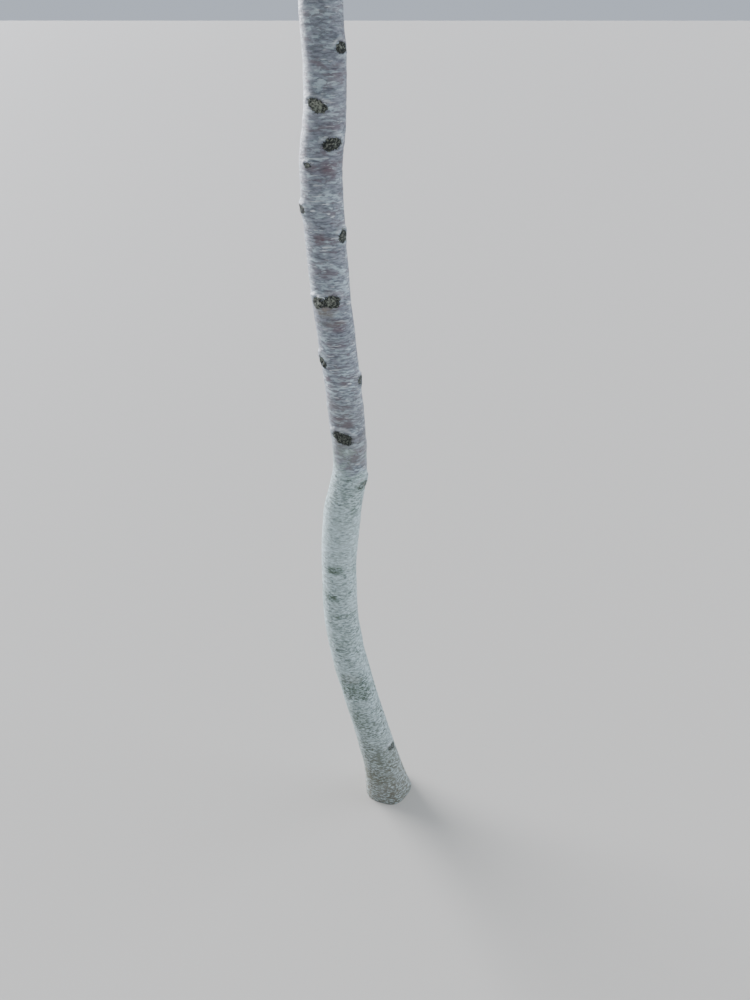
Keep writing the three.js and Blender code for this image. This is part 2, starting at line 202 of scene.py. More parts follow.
def stationValue(height, column):
    rows = np.array(trunk["stations"])
    marks, values = rows[:, 0], rows[:, column]
    allMarks, allValues = np.pad(marks, 1, "edge"), np.pad(values, 1, "edge")
    slopes = (allValues[2:] - allValues[:-2]) / (allMarks[2:] - allMarks[:-2])
    i = np.clip(np.searchsorted(marks, height, side="left") - 1, 0, len(marks) - 2)
    span = marks[i + 1] - marks[i]
    t = (height - marks[i]) / span
    return (
        (2 * t**3 - 3 * t**2 + 1) * values[i] + (t**3 - 2 * t**2 + t) * span * slopes[i]
        + (3 * t**2 - 2 * t**3) * values[i + 1] + (t**3 - t**2) * span * slopes[i + 1]
    )


def trunkCentre(height):
    return Vector((stationValue(height, 1), stationValue(height, 2), height))


def trunkRadius(height, angle):
    foot = np.exp(-height / trunk["rootFlareHeight"])
    ridges = 1 + trunk["ridgeDepth"] * foot * np.cos(trunk["rootRidges"] * angle)
    return (stationValue(height, 3) / 2 + trunk["rootFlare"] * foot) * ridges


def outwards(turn):
    return Vector((math.sin(math.radians(turn)), -math.cos(math.radians(turn)), 0))


# Crown: the spaces of the leafy masses, the boughs that reach them and the twigs inside.
crown = dict(
    axis=(-0.088, 0.008),
    tiers=(
        dict(name="low", count=5, firstTurn=22, ring=0.77, height=2.3, halfWidth=0.62,
             halfHeight=0.62, boughFoot=1.85, boughStep=0.062, boughRadius=0.015,
             tipRadius=0.009, seed=1207),
        dict(name="high", count=5, firstTurn=58, ring=0.61, height=3.02, halfWidth=0.63,
             halfHeight=0.63, boughFoot=2.39, boughStep=0.068, boughRadius=0.011,
             tipRadius=0.007, seed=3407),
    ),
    top=dict(height=3.64, halfWidth=0.62, halfHeight=0.57, seed=5003),
    turnJitter=5, ringJitter=0.045, heightJitter=0.06, sizeJitter=0.05,
    whorlSkip=2, spaceMargin=0.006,
    massSeedStep=97, massSeedScale=31, twigSeedStep=977, leafSeedStep=131, shootSeedStep=389,
    tintSeedStep=613,
)
bough = dict(
    bend=0.5, rise=0.33, span=0.42, swell=0.45, collarLength=0.16,
    rows=96, columns=22, lumpDepth=0.0006, wrinkleDepth=0.00025, endFade=0.3,
    corkShare=0.85, corkLength=0.085,   # grey cork at the foot of the bough
)
twig = dict(
    seatGap=0.00035, stemReach=0.86, stemTipRatio=0.4, stemBend=0.45, stemLift=0.35,
    topLean=0.16, topLeanTurn=110,
    sideTwigs=8, firstTwig=0.1, lastTwig=0.93, openAtFoot=82, openAtTip=38, openJitter=6,
    turnJitter=14, reach=0.9, radius=0.007, offshootRadius=0.0052, offshootPlace=0.42,
    offshootOpen=48, offshootReach=0.85, offshootLongest=0.8, shortest=0.09, leafRoom=0.19,
    bend=0.55, sag=0.16, tipRadius=0.0011,
    beadFoot=1.5, beadStep=0.01, limbClearance=0.014, checkedAt=(0.25, 0.5, 0.75, 1),
    steps=14, sides=7,
)


class Bend:
    # A quadratic curve through a foot, towards a knee, to a tip.
    lengthSteps = 40

    def __init__(self, foot, knee, tip):
        self.foot, self.knee, self.tip = foot, knee, tip

    def point(self, t):
        return self.foot * (1 - t) ** 2 + self.knee * (2 * t * (1 - t)) + self.tip * t * t

    def tangent(self, t):
        return ((self.knee - self.foot) * (1 - t) + (self.tip - self.knee) * t).normalized()

    def length(self):
        points = [self.point(i / self.lengthSteps) for i in range(self.lengthSteps + 1)]
        return sum((b - a).length for a, b in zip(points, points[1:]))


nearUpright = 0.9   # a heading with more of z needs the other helper axis


def crossways(heading):
    helper = Vector((1, 0, 0)) if abs(heading.z) > nearUpright else upwards
    across = helper.cross(heading).normalized()
    return across, heading.cross(across)


def openedFrom(heading, opening, turn):
    across, over = crossways(heading)
    opening, turn = math.radians(opening), math.radians(turn)
    aside = across * math.cos(turn) + over * math.sin(turn)
    return heading * math.cos(opening) + aside * math.sin(opening)


def planMasses():
    masses = []
    for tier in crown["tiers"]:
        for i in range(tier["count"]):
            seed = tier["seed"] + crown["massSeedStep"] * i
            random = seededRandom(seed)
            turn = tier["firstTurn"] + 360 / tier["count"] * i + crown["turnJitter"] * swing(random)
            ring = tier["ring"] + crown["ringJitter"] * swing(random)
            size = 1 + crown["sizeJitter"] * swing(random)
            height = tier["height"] + crown["heightJitter"] * swing(random)
            out = outwards(turn)
            centre = Vector((crown["axis"][0] + ring * out.x, crown["axis"][1] + ring * out.y, height))
            wide, high = tier["halfWidth"] * size, tier["halfHeight"] * size
            step = i * crown["whorlSkip"] % tier["count"]
            masses.append(dict(
                name=f"{tier['name']}_{i + 1}", seed=seed, tier=tier, turn=turn, centre=centre,
                half=Vector((wide, wide, high)), boughHeight=tier["boughFoot"] + tier["boughStep"] * step,
            ))
    top = crown["top"]
    masses.append(dict(
        name="top", seed=top["seed"], tier=None, centre=Vector((*crown["axis"], top["height"])),
        half=Vector((top["halfWidth"], top["halfWidth"], top["halfHeight"])),
    ))
    for mass in masses:
        mass["walls"] = []
        for other in masses:
            if other is not mass:
                out = (other["centre"] - mass["centre"]).normalized()
                middle = (other["centre"] + mass["centre"]) / 2
                mass["walls"].append((out, middle - out * crown["spaceMargin"]))
    return masses


def divided(a, b):
    return Vector((a.x / b.x, a.y / b.y, a.z / b.z))


def roomAlong(mass, start, heading):
    offset = divided(start - mass["centre"], mass["half"])
    step = divided(heading, mass["half"])
    a, b, c = step.length_squared, offset.dot(step), offset.length_squared - 1
    room = (-b + math.sqrt(max(b * b - a * c, 0))) / a
    for out, at in mass["walls"]:
        speed = heading.dot(out)
        if speed > 0:
            room = min(room, (at - start).dot(out) / speed)
    return max(room, 0)


def boughCurve(mass):
    foot = trunkCentre(mass["boughHeight"])
    tip = foot.lerp(mass["centre"], bough["span"])
    reach = (tip - foot).length * bough["bend"]
    return Bend(foot, foot + outwards(mass["turn"]) * reach + upwards * (reach * bough["rise"]), tip)


def stemCurve(mass):
    if mass["tier"]:
        seat, heading = mass["bough"].point(1), mass["bough"].tangent(1)
        away = ((mass["centre"] - seat).normalized() + upwards * twig["stemLift"]).normalized()
    else:
        seat, heading = trunkCentre(trunk["top"]), upwards.copy()
        away = (outwards(twig["topLeanTurn"]) * twig["topLean"] + upwards).normalized()
    foot = seat + heading * twig["seatGap"]
    tip = mass["centre"] + away * (roomAlong(mass, mass["centre"], away) * twig["stemReach"])
    return Bend(foot, foot + heading * ((tip - foot).length * twig["stemBend"]), tip)


masses = planMasses()
for mass in masses:
    if mass["tier"]:
        mass["bough"] = boughCurve(mass)
    mass["stem"] = stemCurve(mass)

# Spheres along the trunk and boughs that twigs and leaves keep away from.
beads = [
    (*trunkCentre(height), trunkRadius(height, 0))
    for height in np.arange(twig["beadFoot"], trunk["top"], twig["beadStep"])
]
for mass in masses[:-1]:
    steps = math.ceil(mass["bough"].length() / twig["beadStep"])
    for i in range(steps + 1):
        along = i / steps
        radius = mix(mass["tier"]["boughRadius"], mass["tier"]["tipRadius"], along)
        beads.append((*mass["bough"].point(along), radius))
beads = np.array(beads)


# Whether a point lies in a mass's space, clear of the trunk and boughs.
def hasRoom(mass, point, clearance=twig["limbClearance"]):
    offset = divided(point - mass["centre"], mass["half"])
    if offset.length_squared > 1 or any((point - at).dot(out) > 0 for out, at in mass["walls"]):
        return False
    away = np.linalg.norm(beads[:, :3] - np.array(point), axis=1) - beads[:, 3]
    return away.min() > clearance


def memberRandom(mass, seedStep, i):
    return seededRandom(mass["seed"] * crown["massSeedScale"] + seedStep * (i + 1))


# A twig in a share of the room along its heading, and that length; no twig where it doesn't fit.
def tryTwig(mass, start, heading, share, longest=math.inf):
    room = roomAlong(mass, start, heading) * share - twig["leafRoom"]
    if room < twig["shortest"]:
        return None, room
    length = min(room, longest)
    tip = start + heading * length - upwards * (twig["sag"] * length)
    curve = Bend(start, start + heading * (length * twig["bend"]), tip)
    fits = all(hasRoom(mass, curve.point(t)) for t in twig["checkedAt"])
    return (curve if fits else None), room


# One mass's stem, side twigs and offshoots, each with its radius at the foot and the tip.
def growTwigs(mass):
    stem = mass["stem"]
    stemFoot = mass["tier"]["tipRadius"] if mass["tier"] else trunkRadius(trunk["top"], 0)
    grown = [(stem, stemFoot, stemFoot * twig["stemTipRatio"])]
    for i in range(twig["sideTwigs"]):
        random = memberRandom(mass, crown["twigSeedStep"], i)
        share = i / (twig["sideTwigs"] - 1)
        along = mix(twig["firstTwig"], twig["lastTwig"], share)
        opening = mix(twig["openAtFoot"], twig["openAtTip"], share) + twig["openJitter"] * swing(random)
        turn = i * goldenAngle + twig["turnJitter"] * random()
        heading = openedFrom(stem.tangent(along), opening, turn)
        curve, length = tryTwig(mass, stem.point(along), heading, mix(twig["reach"], 1, random()))
        offshootTurn = 360 * random()
        offshootShare = mix(twig["offshootReach"], 1, random())
        if curve:
            grown.append((curve, twig["radius"], twig["tipRadius"]))
            knot, at = curve.point(twig["offshootPlace"]), curve.tangent(twig["offshootPlace"])
            aside = openedFrom(at, twig["offshootOpen"], offshootTurn)
            offshoot, _ = tryTwig(mass, knot, aside, offshootShare, twig["offshootLongest"] * length)
            if offshoot:
                grown.append((offshoot, twig["offshootRadius"], twig["tipRadius"]))
    return grown


# Shoots: the finest twigs. The long ones stand where the twigs are leafy, smaller ones and short spurs
# between them. A shoot needs room at its shoulders, at its tip and just before it.
shoot = dict(
    length=0.24, reach=0.8, radius=0.0016, tipRadius=0.0007, knee=0.55, steps=5, sides=4,
    sizes=(0.86, 1.08), betweenSizes=(0.62, 0.9), betweenPlace=0.25, betweenTurn=0.5,
    width=0.64, shoulder=0.42, lift=0.06, droop=0.13, beforeTip=(0.62, 0, -0.03),
    spacing=0.098, first=0.095, last=0.88, end=0.93, opening=52, endOpening=25,
    turnJitter=40, tilt=0.5, tries=6,
    nodes=9, firstNode=0.13, fullness=(0.3, 0.8), endJitter=10,
)
spur = dict(
    length=0.022, sizes=(0.6, 1.4), thickness=1.3, rise=0.35, opening=62,
    spacing=0.04, first=0.04, last=0.97, placeJitter=0.4, turnJitter=60,
    leaves=5, leafSize=0.9, leafOpenings=(48, 82), leafRise=0.3, faceTilt=0.25, faceAhead=0.2,
)
leaf = dict(
    lengths=(0.062, 0.088), openings=(44, 64), faceTilt=0.3, sideFaceTilt=0.35, lift=0.25, kinds=3,
    reach=1.1, roomAtTip=0.004, tintShares=(0.43, 0.34, 0.2, 0.03),
)


def sideAndTop(ahead, face):
    side = face.cross(ahead).normalized()
    return side, ahead.cross(side).normalized()


def shootFits(mass, foot, ahead, side, top, length):
    half = shoot["width"] / 2
    marks = ((shoot["shoulder"], half, shoot["lift"]), (shoot["shoulder"], -half, shoot["lift"]),
             (1, 0, -shoot["droop"]), shoot["beforeTip"])
    for along, across, lift in marks:
        mark = foot + ahead * (along * length) + side * (across * length) + top * (lift * length)
        if not hasRoom(mass, mark):
            return False
    return True


def addLeaf(leaves, foot, ahead, face, length, random):
    side, top = sideAndTop(ahead, face)
    basis = Matrix((side * -1, ahead, top)).transposed()
    leaves.append((foot, basis, length, int(leaf["kinds"] * random())))


def addShoot(sprays, foot, ahead, side, top, size, random):
    length = shoot["length"] * size * shoot["reach"]
    tip = foot + ahead * length - top * (shoot["droop"] * length)
    line = Bend(foot, foot + ahead * (shoot["knee"] * length), tip)
    leaves = []
    firstSide = 1 if random() < 0.5 else -1
    for k in range(shoot["nodes"]):
        share = k / (shoot["nodes"] - 1)
        t = mix(shoot["firstNode"], 1, share)
        aside = side * (firstSide * (-1) ** k)
        opening = mix(*leaf["openings"], random()) if share < 1 else shoot["endJitter"] * swing(random)
        opening = math.radians(opening)
        leafAhead = line.tangent(t) * math.cos(opening) + aside * math.sin(opening)
        leafAhead = leafAhead + top * (leaf["lift"] * swing(random))
        face = top + aside * (leaf["sideFaceTilt"] * random()) + ahead * (leaf["faceTilt"] * swing(random))
        fullness = math.sin(math.pi * mix(*shoot["fullness"], share))
        blade = mix(*leaf["lengths"], random()) * fullness
        addLeaf(leaves, line.point(t), leafAhead.normalized(), face, blade, random)
    sprays.append(dict(line=line, radii=(shoot["radius"], shoot["tipRadius"]), leaves=leaves))


def addSpur(sprays, curve, along, turn, random):
    ahead = openedFrom(curve.tangent(along), spur["opening"], turn)
    foot = curve.point(along)
    length = spur["length"] * mix(*spur["sizes"], random())
    tip = foot + (ahead + upwards * spur["rise"]).normalized() * length
    line = Bend(foot, foot + ahead * (length / 2), tip)
    leaves = []
    firstTurn = 360 * random()
    for k in range(spur["leaves"]):
        leafTurn = k * 360 / spur["leaves"]
        out = openedFrom(ahead, mix(*spur["leafOpenings"], random()), firstTurn + leafTurn)
        leafAhead = (out + upwards * (spur["leafRise"] * random())).normalized()
        face = upwards + out * (spur["faceTilt"] * swing(random)) + ahead * spur["faceAhead"]
        addLeaf(leaves, tip, leafAhead, face, mix(*leaf["lengths"], random()) * spur["leafSize"], random)
    radii = (shoot["radius"] * spur["thickness"], shoot["radius"])
    sprays.append(dict(line=line, radii=radii, leaves=leaves))


# A shoot at the first of a few turns where it has room. One generator draws its size and turn, the
# other its leaves.
def tryShoot(sprays, mass, curve, along, sizes, turn, openings, random, leafRandom):
    size = mix(*sizes, random())
    face = Vector((shoot["tilt"] * swing(random), shoot["tilt"] * swing(random), 1))
    turn += shoot["turnJitter"] * random()
    if along >= 1:
        return
    foot = curve.point(along)
    for attempt, opening in enumerate(openings):
        ahead = openedFrom(curve.tangent(along), opening, turn + attempt * goldenAngle)
        side, top = sideAndTop(ahead, face)
        if shootFits(mass, foot, ahead, side, top, shoot["length"] * size):
            addShoot(sprays, foot, ahead, side, top, size, leafRandom)
            return


def growSprays(mass, twigs):
    sprays = []
    sideOpenings = [shoot["opening"]] * shoot["tries"]
    endOpenings = [shoot["endOpening"] * attempt for attempt in range(shoot["tries"])]
    for i, (curve, _, _) in enumerate(twigs):
        coarse = memberRandom(mass, crown["leafSeedStep"], i)
        fine = memberRandom(mass, crown["shootSeedStep"], i)
        length = curve.length()
        count = max(math.floor((length - shoot["first"]) / shoot["spacing"]) + 1, 1)
        rows = []
        for k in range(count):
            along = min((shoot["first"] + shoot["spacing"] * k) / length, shoot["last"])
            rows.append((along, shoot["sizes"], k, sideOpenings, coarse))
        rows.append((shoot["end"], shoot["sizes"], count, endOpenings, coarse))
        for k in range(2 * count):
            along = (shoot["first"] + shoot["spacing"] * (k / 2 + shoot["betweenPlace"])) / length
            rows.append((along, shoot["betweenSizes"], k + shoot["betweenTurn"], sideOpenings, fine))
        for along, sizes, turns, openings, random in rows:
            tryShoot(sprays, mass, curve, along, sizes, turns * goldenAngle, openings, random, fine)
        for k in range(int((length - spur["first"]) / spur["spacing"])):
            along = (spur["first"] + spur["spacing"] * (k + spur["placeJitter"] * fine())) / length
            if along < spur["last"]:
                addSpur(sprays, curve, along, k * goldenAngle + spur["turnJitter"] * fine(), fine)
    return sprays


for mass in masses:
    mass["twigs"] = growTwigs(mass)
    mass["sprays"] = growSprays(mass, mass["twigs"])
print("crown grown:", sum(len(m["twigs"]) for m in masses), "twigs,",
      sum(len(m["sprays"]) for m in masses), "sprays")



def shaderAttribute(tree, name, output="Fac"):
    return addNode(tree, "ShaderNodeAttribute", attribute_name=name).outputs[output]


# Noise whose lumps have a size across and along, in metres.
def stretchedNoise(tree, place, size, offset=0, **inputs):
    across, along = size
    mapped = addNode(tree, "ShaderNodeMapping", {
        "Vector": place, "Location": (offset, offset, offset), "Scale": (1 / across, 1 / across, 1 / along)})
    noise = addNode(tree, "ShaderNodeTexNoise", {"Vector": mapped.outputs[0], "Scale": 1.0, **inputs})
    return noise.outputs["Fac"]


def between(tree, value, low, high, interpolation="SMOOTHSTEP"):
    return addNode(tree, "ShaderNodeMapRange", {"Value": value, "From Min": low, "From Max": high},
                   interpolation_type=interpolation).outputs[0]


def blended(tree, share, first, second):
    return addNode(tree, "ShaderNodeMix", {0: share, 6: first, 7: second}, data_type="RGBA").outputs[2]


def setSurface(tree, shader, colour, roughness):
    plug(tree, shader.inputs["Base Color"], colour)
    plug(tree, shader.inputs["Roughness"], roughness)


def plainMaterial(name, code, roughness):
    material, tree, shader = startMaterial(name)
    setSurface(tree, shader, hexColour(code), roughness)
    return material


def addBump(tree, shader, height, strength, depth):
    bump = addNode(tree, "ShaderNodeBump", {"Height": height, "Strength": strength, "Distance": depth})
    plug(tree, shader.inputs["Normal"], bump.outputs[0])


# Bark of the trunk: a grey cork skin that shines like satin, ringed with fine pale pores and a thin
# silvery film of lichen; a dull, crusty grey-green lichen covers the lower half.
trunkBark = dict(
    colours=dict(
        corkDark="#494b56", corkMiddle="#6b6f7a", corkPale="#8d919c", violet="#645057", film="#b8cad2",
        dash="#e6ecee", line="#2c2f34", crustPale="#ccdfe2", crustDark="#5c6a5d", crackle="#39453e",
        moss="#475841", brown="#746b5c", scarDarkAndShade="#1d211f", scarPale="#8b8f83", lip="#e2e7ea",
    ),
    # Each noise: size across and along, detail, where it is read, and the values between which it sets in.
    noises=dict(
        grain=((0.011, 0.0028), 4, 7.7, 0.36, 0.64), clouds=((0.032, 0.01), 4, 23.5, 0.44, 0.62),
        patches=((0.03, 0.011), 3, 3.1, 0.51, 0.63), flecks=((0.014, 0.0036), 4, 17.9, 0.49, 0.58),
        dashes=((0.022, 0.0028), 2, 27.0, 0.62, 0.69), lines=((0.022, 0.0016), 2, 12.3, 0.58, 0.66),
        mottles=((0.007, 0.0028), 5, 21.0, 0.37, 0.61), blotches=((0.042, 0.03), 3, 31.0, 0.38, 0.62),
        cracks=((0.013, 0.0017), 3, 41.0, 0.555, 0.63), crumbs=((0.0026, 0.0022), 3, 51.0, 0.48, 0.8),
    ),
    noiseRoughness=0.6, noiseDistortion=0.35,
    # How strongly each shows, and how much of each lies evenly, where its own pattern leaves it out.
    calm=0.36, violet=0.55, line=0.55, wash=0.22, fleck=0.95, dash=0.9, crack=0.92, lip=0.95, spots=0.5,
    evenBlush=0.6, evenDash=0.3, evenWear=0.4, evenMottle=0.38, evenCrack=0.5, evenStain=0.4,
    evenLip=0.5,
    # How much film the clouds and the pale heights bring, and a blush takes away.
    filmFromClouds=0.6, filmFromPale=0.6, filmOffBlush=0.35,
    # Ragged edges: how far noise moves them, and the values between which they set in.
    crustMottle=0.9, crustBlotch=0.25, crustEdge=(0.8, 0.98), spotEdge=(0.36, 0.56),
    scarMask=0.45, scarCrumb=0.85, scarEdge=(0.63, 0.71), middleAndEdgeShadeTone=0.24,
    corkRoughness=0.5, crustRoughness=0.9,
    grainBump=0.35, lineBump=0.5, bumpStrength=0.6, bumpDepth=0.0018,
)


def makeTrunkBark():
    look = trunkBark
    material, tree, shader = startMaterial("satinCherryBark")
    tint = {name: hexColour(code) for name, code in look["colours"].items()}
    place = shaderAttribute(tree, "barkPlace", "Vector")

    def noise(name):
        size, detail, offset = look["noises"][name][:3]
        return stretchedNoise(tree, place, size, offset, Detail=detail, Roughness=look["noiseRoughness"],
                              Distortion=look["noiseDistortion"])

    def pattern(name, source=None):
        return between(tree, source or noise(name), *look["noises"][name][3:])

    def joined(operation, a, b):
        return addNode(tree, "ShaderNodeMath", {0: a, 1: b}, operation=operation, use_clamp=True).outputs[0]

    plus, minus, times, larger = (
        functools.partial(joined, kind) for kind in ("ADD", "SUBTRACT", "MULTIPLY", "MAXIMUM"))

    def atLeast(least, value):
        return plus(times(value, 1 - least), least)

    def painted(name, share, colour):
        return blended(tree, share, colour, tint[name])

    # The cork: rings of pale and dark, violet patches, pale flecks that gather where the film lies, and
    # thin bright pores.
    pale = shaderAttribute(tree, "pale")
    grain, flecks, lines = pattern("grain"), pattern("flecks"), pattern("lines")
    colour = painted("corkPale", grain, tint["corkDark"])
    colour = painted("corkMiddle", times(minus(1.0, pale), look["calm"]), colour)
    blush = times(shaderAttribute(tree, "blush"), atLeast(look["evenBlush"], grain))
    colour = painted("violet", larger(times(pattern("patches"), look["violet"]), blush), colour)
    colour = painted("line", times(lines, look["line"]), colour)
    filmy = plus(times(pattern("clouds"), look["filmFromClouds"]), times(pale, look["filmFromPale"]))
    filmy = minus(filmy, times(blush, look["filmOffBlush"]))
    colour = painted("film", times(filmy, look["wash"]), colour)
    colour = painted("film", times(times(flecks, look["fleck"]), filmy), colour)
    dashShare = times(times(pattern("dashes"), look["dash"]), plus(pale, look["evenDash"]))
    colour = painted("dash", dashShare, colour)

    # The lichen crust: pale, with dark mottles that gather where it is worn, and short cross cracks.
    mottles, blotches = noise("mottles"), pattern("blotches")
    worn = times(minus(1.0, pale), atLeast(look["evenWear"], blotches))
    mottleShare = times(pattern("mottles", mottles), atLeast(look["evenMottle"], worn))
    crackShare = times(times(pattern("cracks"), look["crack"]), atLeast(look["evenCrack"], worn))
    crustColour = painted("crackle", crackShare, painted("crustDark", mottleShare, tint["crustPale"]))
    ragged = plus(shaderAttribute(tree, "crust"), times(mottles, look["crustMottle"]))
    crustShare = between(tree, plus(ragged, times(blotches, look["crustBlotch"])), *look["crustEdge"])
    colour = blended(tree, crustShare, colour, crustColour)
    spots = plus(times(between(tree, mottles, *look["spotEdge"]), look["spots"]), look["evenStain"])
    # Moss and brown stains; one brown patch is a painted shadow under a scar.
    for name in ("moss", "brown"):
        colour = painted(name, times(shaderAttribute(tree, name), spots), colour)

    # The scars: crumbly dead wood under a smooth pale lip of healed bark, darkest at the edge, partly from
    # dark crumbs and partly from painted shade of the gap round the scar.
    lipShare = times(times(shaderAttribute(tree, "lip"), look["lip"]), atLeast(look["evenLip"], flecks))
    colour = painted("lip", lipShare, colour)
    crumbs = noise("crumbs")
    # The scar's dark colour holds both dark crumbs and painted shade at the edge.
    middle = plus(crumbs, times(shaderAttribute(tree, "scarMiddle"), look["middleAndEdgeShadeTone"]))
    scarColour = painted("scarPale", pattern("crumbs", middle), tint["scarDarkAndShade"])
    ragged = plus(times(shaderAttribute(tree, "scar"), look["scarMask"]), times(crumbs, look["scarCrumb"]))
    scarShare = between(tree, ragged, *look["scarEdge"])
    colour = blended(tree, scarShare, colour, scarColour)
    rough = addNode(tree, "ShaderNodeMapRange", {
        "Value": larger(crustShare, scarShare),
        "To Min": look["corkRoughness"], "To Max": look["crustRoughness"]})
    setSurface(tree, shader, colour, rough.outputs[0])
    rings = minus(times(grain, look["grainBump"]), times(lines, look["lineBump"]))
    crusty = minus(times(mottles, crustShare), times(crackShare, crustShare))
    height = plus(plus(rings, crusty), times(crumbs, scarShare))
    addBump(tree, shader, height, look["bumpStrength"], look["bumpDepth"])
    return material


# Pruning scars: height, turn, half width, half height, lean in degrees down to the right, how pale the
# middle is against an edge darkened partly by painted shade, and how much of the dark wood still shows.
scars = dict(
    places=(
        (1.462, 52, 0.01, 0.0075, 0, 0.3, 1.0), (1.397, -17, 0.015, 0.0078, 22, 1.0, 1.0),
        (1.349, 26, 0.014, 0.009, -8, 0.25, 1.0), (1.323, -31, 0.0072, 0.0045, 5, 0.6, 0.8),
        (1.263, -68, 0.01, 0.0075, 0, 0.1, 1.0), (1.226, 57, 0.01, 0.0105, 0, 0.3, 1.0),
        (1.132, -35, 0.0125, 0.0095, 8, 0.8, 1.0), (1.135, 3, 0.0125, 0.01, -5, 0.7, 1.0),
        (1.036, -55, 0.012, 0.0085, 38, 0.3, 0.85), (1.001, 72, 0.0105, 0.0095, 0, 0.4, 0.75),
        (0.907, -16, 0.0175, 0.011, 20, 0.35, 1.0), (0.815, 52, 0.013, 0.0075, -18, 0.6, 0.62),
        (0.149, 60, 0.0135, 0.0085, 5, 0.35, 0.75),
    ),
    farCount=9, farFoot=0.64, farStep=0.118, farTurn=180, farSpread=45, farSize=(0.012, 0.01),
    farJitter=0.2, farPaleness=0.6,
    rise=0.004, mound=(0.75, 1.15, 4), skirt=(0.35, 1.8, 2),   # share of the rise, reach and steepness
    hollow=0.0022, hollowReach=0.6, crumbDepth=0.0017,
    ragged=0.16, fineRagged=0.08,                         # how far lumps move the edge
    aboveFade=(-0.1, 0.8), lipRise=0.002, roll=(1.3, 0.22), rollBelow=0.3,
    lipBand=(1.36, 0.15), lipTone=0.6, lipLumps=0.4, woodFade=(0.62, 1.36), middleAndEdgeShadeReach=0.62,
)
# How pale the film and the lichen lie by height, and where moss and brown algae stain the bark (one brown
# patch is a painted shadow under a scar) or its cork shows a violet blush: height, turn, half width, half
# height and strength.
stainsAndShadow = dict(
    pale=((0.00, 0.00), (0.12, 0.02), (0.19, 0.15), (0.33, 0.05), (0.46, 0.32), (0.58, 0.36), (0.63, 0.5),
          (0.68, 1.00), (0.73, 0.65), (0.79, 0.22), (0.86, 0.68), (0.91, 0.4), (0.95, 0.68), (0.985, 0.95),
          (1.03, 0.6), (1.075, 0.35), (1.1, 0.12), (1.125, 0.3), (1.152, 0.95), (1.185, 0.5),
          (1.22, 0.3), (1.25, 0.55), (1.29, 0.3), (1.33, 0.1), (1.4, 0.2), (1.48, 0.08), (1.52, 0.3),
          (3.1, 0.3)),
    paleLumps=0.22, crustTop=0.832, crustFade=0.08, crustRagged=0.042,
    moss=((0.632, -8, 0.022, 0.011, 0.95), (0.565, -30, 0.018, 0.012, 0.65), (0.522, 8, 0.03, 0.005, 0.6),
          (0.455, 12, 0.018, 0.012, 0.5), (0.33, 4, 0.034, 0.026, 0.55), (0.245, -20, 0.034, 0.034, 0.45),
          (0.13, 30, 0.04, 0.03, 0.45), (0.07, -20, 0.05, 0.02, 0.5), (0.812, 60, 0.022, 0.014, 0.7),
          (0.763, 34, 0.009, 0.01, 0.65), (0.69, 150, 0.04, 0.03, 0.6), (0.4, 200, 0.05, 0.06, 0.6)),
    brown=((1.118, -22, 0.019, 0.01, 0.75), (1.1, -8, 0.03, 0.006, 0.35),
           # The first patch on this line is a painted shadow just under the scar at 0.907 m, not algae.
           (0.893, -15, 0.02, 0.01, 0.45), (0.945, 0, 0.075, 0.035, 0.22),
           (0.88, 0, 0.07, 0.035, 0.34), (0.36, -5, 0.02, 0.015, 0.35)),
    blush=((1.38, 32, 0.016, 0.02, 0.45), (1.316, 24, 0.017, 0.012, 0.9), (1.225, -15, 0.01, 0.009, 0.95),
           (1.178, -5, 0.026, 0.009, 0.65), (1.095, 17, 0.02, 0.01, 0.75), (1.065, 0, 0.027, 0.01, 0.55),
           (1.005, -43, 0.009, 0.008, 0.8), (1.004, 12, 0.012, 0.01, 0.95), (0.936, -9, 0.02, 0.014, 0.75),
           (0.873, 0, 0.024, 0.012, 0.65), (0.845, -8, 0.014, 0.008, 0.6), (1.25, 150, 0.03, 0.016, 0.7),
           (1.02, 195, 0.03, 0.02, 0.7)),
    earthHeight=0.185, earthShare=0.8, ragged=0.35, fade=(0.4, 1.3),
)


def allScars():
    rows = list(scars["places"])
    wide, high = scars["farSize"]
    for i in range(scars["farCount"]):
        spiral = math.radians(i * goldenAngle)
        rows.append((
            scars["farFoot"] + scars["farStep"] * i, scars["farTurn"] + scars["farSpread"] * math.sin(spiral),
            wide * (1 + scars["farJitter"] * math.cos(spiral)),
            high * (1 + scars["farJitter"] * math.sin(spiral)), 0, scars["farPaleness"], 1.0,
        ))
    return rows


def wrapped(angle):
    return (angle + math.pi) % (2 * math.pi) - math.pi


def around(radius, angles, heights):
    return np.stack([radius * np.cos(angles), radius * np.sin(angles), heights], axis=-1)


# A closed skin from rings of points, with its bark coordinates and masks as attributes.
def skinMesh(name, rings, masks):
    rows, columns = rings.shape[:2]
    points = rings.reshape(-1, 3)
    ends = np.array([rings[0].mean(axis=0), rings[-1].mean(axis=0)])
    index = np.arange(rows * columns).reshape(rows, columns)
    after = np.roll(index, -1, 1)
    quads = np.stack([index[:-1], after[:-1], after[1:], index[1:]], axis=-1).reshape(-1, 4)
    foot, tip = rows * columns, rows * columns + 1
    caps = [(foot, b, a) for a, b in zip(index[0].tolist(), after[0].tolist())]
    caps += [(tip, a, b) for a, b in zip(index[-1].tolist(), after[-1].tolist())]
    mesh = bpy.data.meshes.new(name)
    mesh.from_pydata(np.vstack([points, ends]).tolist(), [], quads.tolist() + caps)
    for label, values in masks.items():
        flat = values.reshape(rows * columns, -1)
        flat = np.vstack([flat, flat[:1], flat[-1:]]).astype(np.float32)
        addAttribute(mesh, label, "FLOAT_VECTOR" if flat.shape[1] == 3 else "FLOAT", flat.ravel())
    mesh.shade_smooth()
    return mesh


